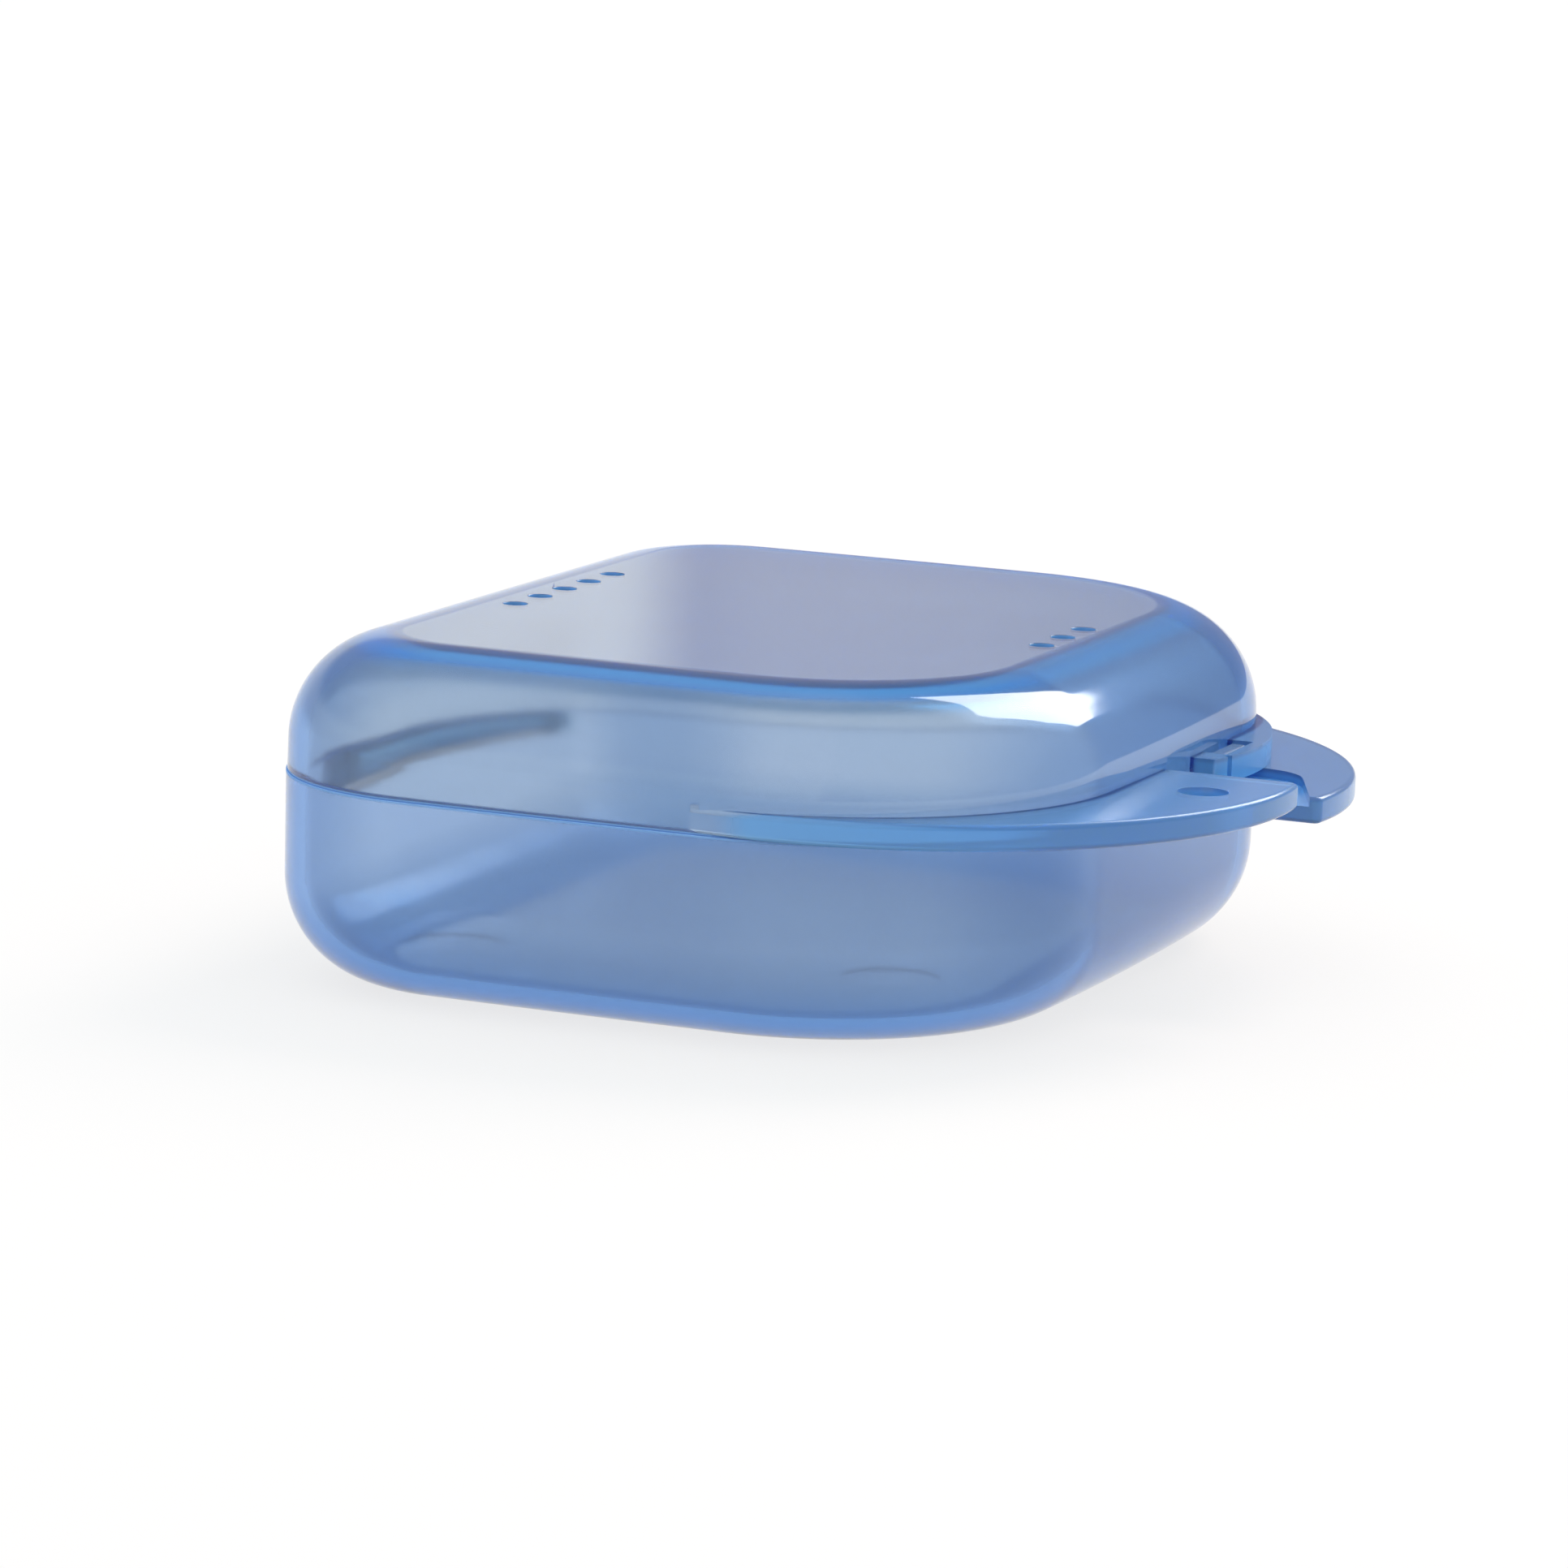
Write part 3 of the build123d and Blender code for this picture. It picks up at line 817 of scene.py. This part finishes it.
class MouldBase(bpy.types.Operator):
    """Models the base: a bowl with a thumb tab, a latch hook and two hinge knuckles"""
    bl_idname = "retainer_case.mould_base"
    bl_label = "Mould the base"

    def execute(self, context):
        scene = context.scene
        shell = scene.case_shell
        rim = shell.rim_height
        base = round_block("base_moulding", shell, 0.0, rim, 0.0, shell.edge_radius, shell.rim_round)
        plate = self.thumb_tab(scene)
        cavity = round_block("cavity", shell, shell.wall, rim, shell.wall, shell.edge_radius - shell.wall,
                             mouth_round=shell.rim_inner_round)
        boolean(base, "UNION", plate)
        boolean(base, "DIFFERENCE", cavity)
        boolean(base, "UNION", self.hook(scene))
        self.hinge(scene, base)
        self.floor_marks(scene, base)
        plastic = clear_plastic("base_plastic_clear", scene, 0.31)
        finished(base, "base_moulding", plastic, "base", "base_plastic", "base_shell")
        return {"FINISHED"}

    def thumb_tab(self, scene):
        tab, rim, at = scene.case_tabs, scene.case_shell.rim_height, places(scene)
        plan = tab_outline(tab.base_tab_radius, BASE_TAB_MIDDLE, at["tab_front"], BASE_TAB_CUT, 0.0,
                           tab.tip_rounding, 1)
        ends = (rim - FACE_STEP, rim - tab.base_tab_thickness)
        plate = bevel(prism("tab", plan, ends[1], ends[0]), tab.rounding, 5, free_edges(ends, 0.0))
        near_y = -at["tab_front"] + RECESS_FRONT
        far_y = -at["tab_front"] + RECESS_BACK
        corners = [(RECESS_START, near_y), (BASE_TAB_CUT, near_y), (RECESS_END, far_y), (RECESS_END, 0),
                   (RECESS_START, 0)]
        recess = rounded(corners, [0, 0, RECESS_CORNER, 0, 0])
        return boolean(plate, "DIFFERENCE", prism("recess", recess, rim - tab.recess_depth, rim + PAST))

    def hook(self, scene):
        tab, at = scene.case_tabs, places(scene)
        inner, outer = at["hook_inner"], at["hook_outer"]
        top = at["ear_top"] - HOOK_DROP
        barb = outer - BARB_REACH
        root = scene.case_shell.rim_height - tab.recess_depth - HOOK_ROOT
        side = [(inner, root), (inner, top), (outer, top), (barb, top - BARB_SLOPE),
                (barb, top - BARB_HEIGHT), (outer, top - BARB_HEIGHT), (outer, root)]
        half = tab.hook_width / 2
        hook = prism("hook", side, HOOK_MIDDLE - half, HOOK_MIDDLE + half, along="X")
        return bevel(hook, HOOK_ROUND, 2, lambda corners: all(c.z > root + ABOVE_ROOT for c in corners))

    def hinge(self, scene, base):
        detail, at = scene.case_details, places(scene)
        y, z, face = at["hinge_y"], at["hinge_z"], at["knuckle_face"]
        for s in (-1, 1):
            knuckle = rod("knuckle", detail.hinge_radius, (s * face, y, z),
                          (s * detail.hinge_length / 2, y, z), KNUCKLE_POINTS)
            bevel(knuckle, KNUCKLE_ROUND, 3, lambda corners: len({round(c.x, 7) for c in corners}) == 1)
            boolean(base, "UNION", knuckle)
        bed = z - detail.hinge_radius - BED_GAP
        end = face - FACE_STEP
        boolean(base, "DIFFERENCE", box("bed", (-end, y - BED_REACH, bed),
                                        (end, y + BED_REACH, scene.case_shell.rim_height + PAST)))
        for s in (-1, 1):
            socket = rod("socket", detail.stud_radius + BASE_SOCKET_GAP, (s * (face - PAST), y, z),
                         (s * (face + BASE_SOCKET_DEPTH), y, z))
            boolean(base, "DIFFERENCE", socket)

    def floor_marks(self, scene, base):
        detail, floor = scene.case_details, scene.case_shell.wall
        for x, y in FLOOR_MARKS:
            mark = rod("mark", detail.mark_radius, (x, y, floor - detail.mark_depth),
                       (x, y, floor + detail.mark_depth), MARK_POINTS)
            boolean(base, "DIFFERENCE", mark)


class MouldLid(bpy.types.Operator):
    """Models the lid: a shallower bowl turned over, with an ear, a latch flange, a hinge barrel and vents"""
    bl_idname = "retainer_case.mould_lid"
    bl_label = "Mould the lid"

    def execute(self, context):
        scene = context.scene
        shell = scene.case_shell
        rim = places(scene)["lid_bottom"]
        lid = round_block("lid_moulding", shell, shell.lid_inset, rim, shell.height, shell.edge_radius,
                          shell.rim_round)
        ear = self.ear(scene, rim + FACE_STEP)
        flange = self.flange(scene, rim + FACE_STEP)
        boolean(lid, "UNION", ear, flange)
        cavity = round_block("cavity", shell, shell.lid_inset + shell.wall, rim, shell.height - shell.wall,
                             shell.edge_radius - shell.wall, mouth_round=shell.rim_inner_round)
        boolean(lid, "DIFFERENCE", cavity)
        boolean(lid, "UNION", self.barrel(scene, rim + FACE_STEP))
        self.vents(scene, lid)
        plastic = clear_plastic("lid_plastic_clear", scene, 0.77, is_lid=True)
        finished(lid, "lid_moulding", plastic, "lid", "lid_plastic", "lid_shell", "lid_thumb_ear")
        return {"FINISHED"}

    def ear(self, scene, bottom):
        tab, at = scene.case_tabs, places(scene)
        top = at["ear_top"]
        plan = tab_outline(tab.ear_radius, EAR_MIDDLE, at["tab_front"], EAR_CUT, EAR_BACK,
                           tab.tip_rounding, -1)
        ends = (bottom, top)
        ear = bevel(prism("ear", plan, bottom, top), tab.rounding, 5, free_edges(ends, EAR_BACK))
        hole = Vector((HOLE_ACROSS, -at["tab_front"] + HOLE_BEHIND))
        boolean(ear, "DIFFERENCE", rod("hole", tab.hole_radius, (*hole, bottom - PAST), (*hole, top + PAST),
                                       HOLE_POINTS))
        return bevel(ear, HOLE_ROUND, 2, hole_edges([hole], tab.hole_radius, ends))

    def flange(self, scene, bottom):
        tab, at = scene.case_tabs, places(scene)
        top = at["ear_top"]
        plan = tab_outline(tab.flange_radius, FLANGE_MIDDLE, at["flange_front"], FLANGE_CUT, 0.0,
                           FLANGE_TIP, 1)
        flange = prism("flange", plan, bottom, top)
        half = tab.hook_width / 2 + SLOT_SIDE_GAP
        left, right = HOOK_MIDDLE - half, HOOK_MIDDLE + half
        slot_y = at["hook_outer"] - SLOT_FRONT_GAP
        notch_y = -at["flange_front"] + NOTCH_DEPTH
        return boolean(flange, "DIFFERENCE",
                       box("slot", (left, slot_y, bottom - PAST), (right, SLOT_BACK, top + PAST)),
                       box("ledge", (left, slot_y - LEDGE_REACH, top - LEDGE_DROP),
                           (right, SLOT_BACK, top + 2 * PAST)),
                       box("notch", (NOTCH_SIDES[0], NOTCH_START, bottom - PAST),
                           (NOTCH_SIDES[1], notch_y, top + PAST)))

    def barrel(self, scene, bottom):
        shell, detail, at = scene.case_shell, scene.case_details, places(scene)
        y, z = at["hinge_y"], at["hinge_z"]
        end = at["knuckle_face"] - BARREL_GAP
        inset = shell.lid_inset + WEB_INSET
        web = prism("web", outline_points(shell, inset, shell.points), z, bottom + WEB_RISE)
        inside = outline_points(shell, inset + shell.wall - WEB_OVERLAP, shell.points)
        hollow = prism("hollow", inside, z - PAST, bottom + PAST)
        boolean(web, "DIFFERENCE", hollow)
        boolean(web, "INTERSECT", box("window", (-end, WEB_REGION[0], z - PAST),
                                      (end, WEB_REGION[1], bottom + 2 * PAST)))
        barrel = rod("barrel", detail.hinge_radius, (-end, y, z), (end, y, z))
        boolean(barrel, "UNION", web)
        for s in (-1, 1):
            boolean(barrel, "DIFFERENCE", rod("socket", detail.stud_radius + LID_SOCKET_GAP,
                                              (s * (end - LID_SOCKET_DEPTH), y, z), (s * (end + PAST), y, z)))
        return barrel

    def vents(self, scene, lid):
        shell, detail = scene.case_shell, scene.case_details
        rows = ((5, shell.depth / 2 - HINGE_ROW_INSET), (3, LATCH_ROW_INSET - shell.depth / 2))
        vents = [Vector(((i - (count - 1) / 2) * detail.vent_pitch, y)) for count, y in rows
                 for i in range(count)]
        for vent in vents:
            boolean(lid, "DIFFERENCE", rod("vent", detail.vent_radius, (*vent, shell.height - VENT_CUT),
                                           (*vent, shell.height + PAST), VENT_POINTS))
        roof = (shell.height, shell.height - shell.wall)
        bevel(lid, detail.vent_round, 3, hole_edges(vents, detail.vent_radius, roof, NEARLY))


class FinishStuds(bpy.types.Operator):
    """Gives the hinge studs, which stay as they are, the same clear plastic"""
    bl_idname = "retainer_case.finish_studs"
    bl_label = "Finish the hinge studs"

    def execute(self, context):
        plastic = clear_plastic("stud_plastic_clear", context.scene, 1.13)
        for node in ("hinge_stud_left", "hinge_stud_right"):
            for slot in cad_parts[node].material_slots:
                slot.material = plastic
        return {"FINISHED"}


# The stage

WHITE = (1.0, 1.0, 1.0)
FLOOR_SIZE = 8.0
FLOOR_DROP = 0.1 * MM  # keeps the floor just clear of the case
# Corners of the lit window as the case sees it, across and up from its middle, for a distance of one
WINDOW_SHAPE = [(0.0, 0.34), (0.21, 0.35), (0.16, 0.14), (0.15, 0.0), (0.17, -0.18), (0.13, -0.23),
                (0.0, -0.29), (-0.07, -0.34), (-0.24, -0.24), (-0.32, 0.0), (-0.31, 0.32), (-0.25, 0.39)]
# Limits between which one wall of the studio eases into another, as shares of the direction
WALL_TOP_EASE = 0.15
LIGHT_SIDE = (-0.006, 0.008)
DARK_SIDE = (-0.02, -0.12)


class SetStage(bpy.types.Operator):
    """Lays the floor and sets the light and the camera"""
    bl_idname = "retainer_case.set_stage"
    bl_label = "Set the stage"

    def execute(self, context):
        scene = context.scene
        look = scene.case_studio
        self.lay_floor(look)
        self.paint_walls(scene, look)
        self.hang_window(look)
        self.place_camera(scene, look)
        scene.cycles.max_bounces = 40
        scene.cycles.transmission_bounces = 40
        scene.cycles.glossy_bounces = 24
        scene.cycles.diffuse_bounces = 6
        scene.view_settings.view_transform = "Standard"
        return {"FINISHED"}

    def lay_floor(self, look):
        """A white floor that keeps the case's shadow."""
        deselect()
        bpy.ops.mesh.primitive_grid_add(x_subdivisions=8, y_subdivisions=8, size=FLOOR_SIZE,
                                        location=(0, 0, -FLOOR_DROP))
        floor = bpy.context.object
        floor.name = "studio_floor"
        settle(floor)
        material = bpy.data.materials.new("studio_floor_pale")
        tree = Tree(material)
        matt = tree.add("ShaderNodeBsdfDiffuse", Color=look.floor_tone)
        camera, glossy, through = (tree.add("ShaderNodeLightPath", output=f"Is {kind} Ray")
                                   for kind in ("Camera", "Glossy", "Transmission"))
        shine = (camera + glossy + through) * look.floor_glow
        glow = tree.add("ShaderNodeEmission", Color=WHITE, Strength=shine)
        tree.add("ShaderNodeOutputMaterial", Surface=tree.add("ShaderNodeAddShader", i0=matt, i1=glow))
        floor.data.materials.append(material)

    def paint_walls(self, scene, look):
        """Soft light from all around, in which polished faces reflect a lighter and a darker wall."""
        world = bpy.data.worlds.new("studio_world")
        scene.world = world
        tree = Tree(world)
        x, y, z = tree.split(tree.add("ShaderNodeTexCoord", output="Generated"))
        side = y * math.sin(look.wall_edge) + x * math.cos(look.wall_edge)
        light = tree.ease(side, *LIGHT_SIDE) * tree.ease(z, look.wall_top + WALL_TOP_EASE, look.wall_top)
        wall = tree.mix(tree.ease(side, *DARK_SIDE), look.far_wall, look.right_wall)
        wall = tree.mix(light, wall, look.left_wall)
        glossy, through = (tree.add("ShaderNodeLightPath", output=f"Is {kind} Ray")
                           for kind in ("Glossy", "Transmission"))
        colour = tree.mix(glossy * (1.0 - through), look.soft_light, wall)
        sky = tree.add("ShaderNodeBackground", Color=colour, Strength=1.0)
        tree.add("ShaderNodeOutputWorld", Surface=sky)

    def hang_window(self, look):
        """The bright window that shows as the highlight."""
        az, el = look.window_azimuth, look.window_elevation
        towards = Vector((math.sin(az) * math.cos(el), -math.cos(az) * math.cos(el), math.sin(el)))
        across = Vector((math.cos(az), math.sin(az), 0))
        upward = across.cross(towards) * -1
        deselect()
        bpy.ops.mesh.primitive_circle_add(vertices=len(WINDOW_SHAPE), radius=1, fill_type="NGON")
        window = bpy.context.object
        window.name = "studio_window"
        for vertex, (u, v) in zip(window.data.vertices, WINDOW_SHAPE):
            vertex.co = (towards + across * u + upward * v) * look.window_distance
        material = bpy.data.materials.new("studio_window_light")
        tree = Tree(material)
        light = tree.add("ShaderNodeEmission", Color=WHITE, Strength=look.window_strength)
        tree.add("ShaderNodeOutputMaterial", Surface=light)
        window.data.materials.append(material)

    def place_camera(self, scene, look):
        """The camera at the photograph's viewing angle."""
        lens = bpy.data.cameras.new("camera")
        lens.lens = look.lens
        lens.sensor_width = 36
        lens.clip_start = 0.01
        camera = bpy.data.objects.new("camera", lens)
        aim = Vector(look.camera_aim).to_track_quat("-Z", "Y").to_matrix().to_4x4()
        roll = Matrix.Rotation(look.camera_roll, 4, "Z")
        camera.matrix_world = Matrix.Translation(look.camera_place) @ aim @ roll
        scene.collection.objects.link(camera)
        scene.camera = camera


class CasePanel(bpy.types.Panel):
    """Sizes, looks and the steps that make the case"""
    bl_idname = "VIEW3D_PT_retainer_case"
    bl_label = "Retainer case"
    bl_space_type = "VIEW_3D"
    bl_region_type = "UI"
    bl_category = "Retainer case"

    def draw(self, context):
        for group in GROUPS:
            settings = getattr(context.scene, group)
            column = self.layout.column(align=True)
            for name in settings.__annotations__:
                column.prop(settings, name)
        for step in STEPS:
            self.layout.operator(step.bl_idname)


STEPS = (MouldBase, MouldLid, FinishStuds, SetStage)
GROUPS = {"case_shell": ShellSizes, "case_tabs": TabSizes, "case_details": DetailSizes,
          "case_plastic": PlasticLook, "case_studio": StudioLook}


def register():
    for name, group in GROUPS.items():
        bpy.utils.register_class(group)
        setattr(bpy.types.Scene, name, PointerProperty(type=group))
    for kind in (*STEPS, CasePanel):
        bpy.utils.register_class(kind)


def unregister():
    for kind in reversed((*STEPS, CasePanel)):
        bpy.utils.unregister_class(kind)
    for name, group in GROUPS.items():
        delattr(bpy.types.Scene, name)
        bpy.utils.unregister_class(group)


def main():
    register()
    bpy.ops.retainer_case.mould_base()
    bpy.ops.retainer_case.mould_lid()
    bpy.ops.retainer_case.finish_studs()
    bpy.ops.retainer_case.set_stage()


if __name__ == "__main__":
    main()
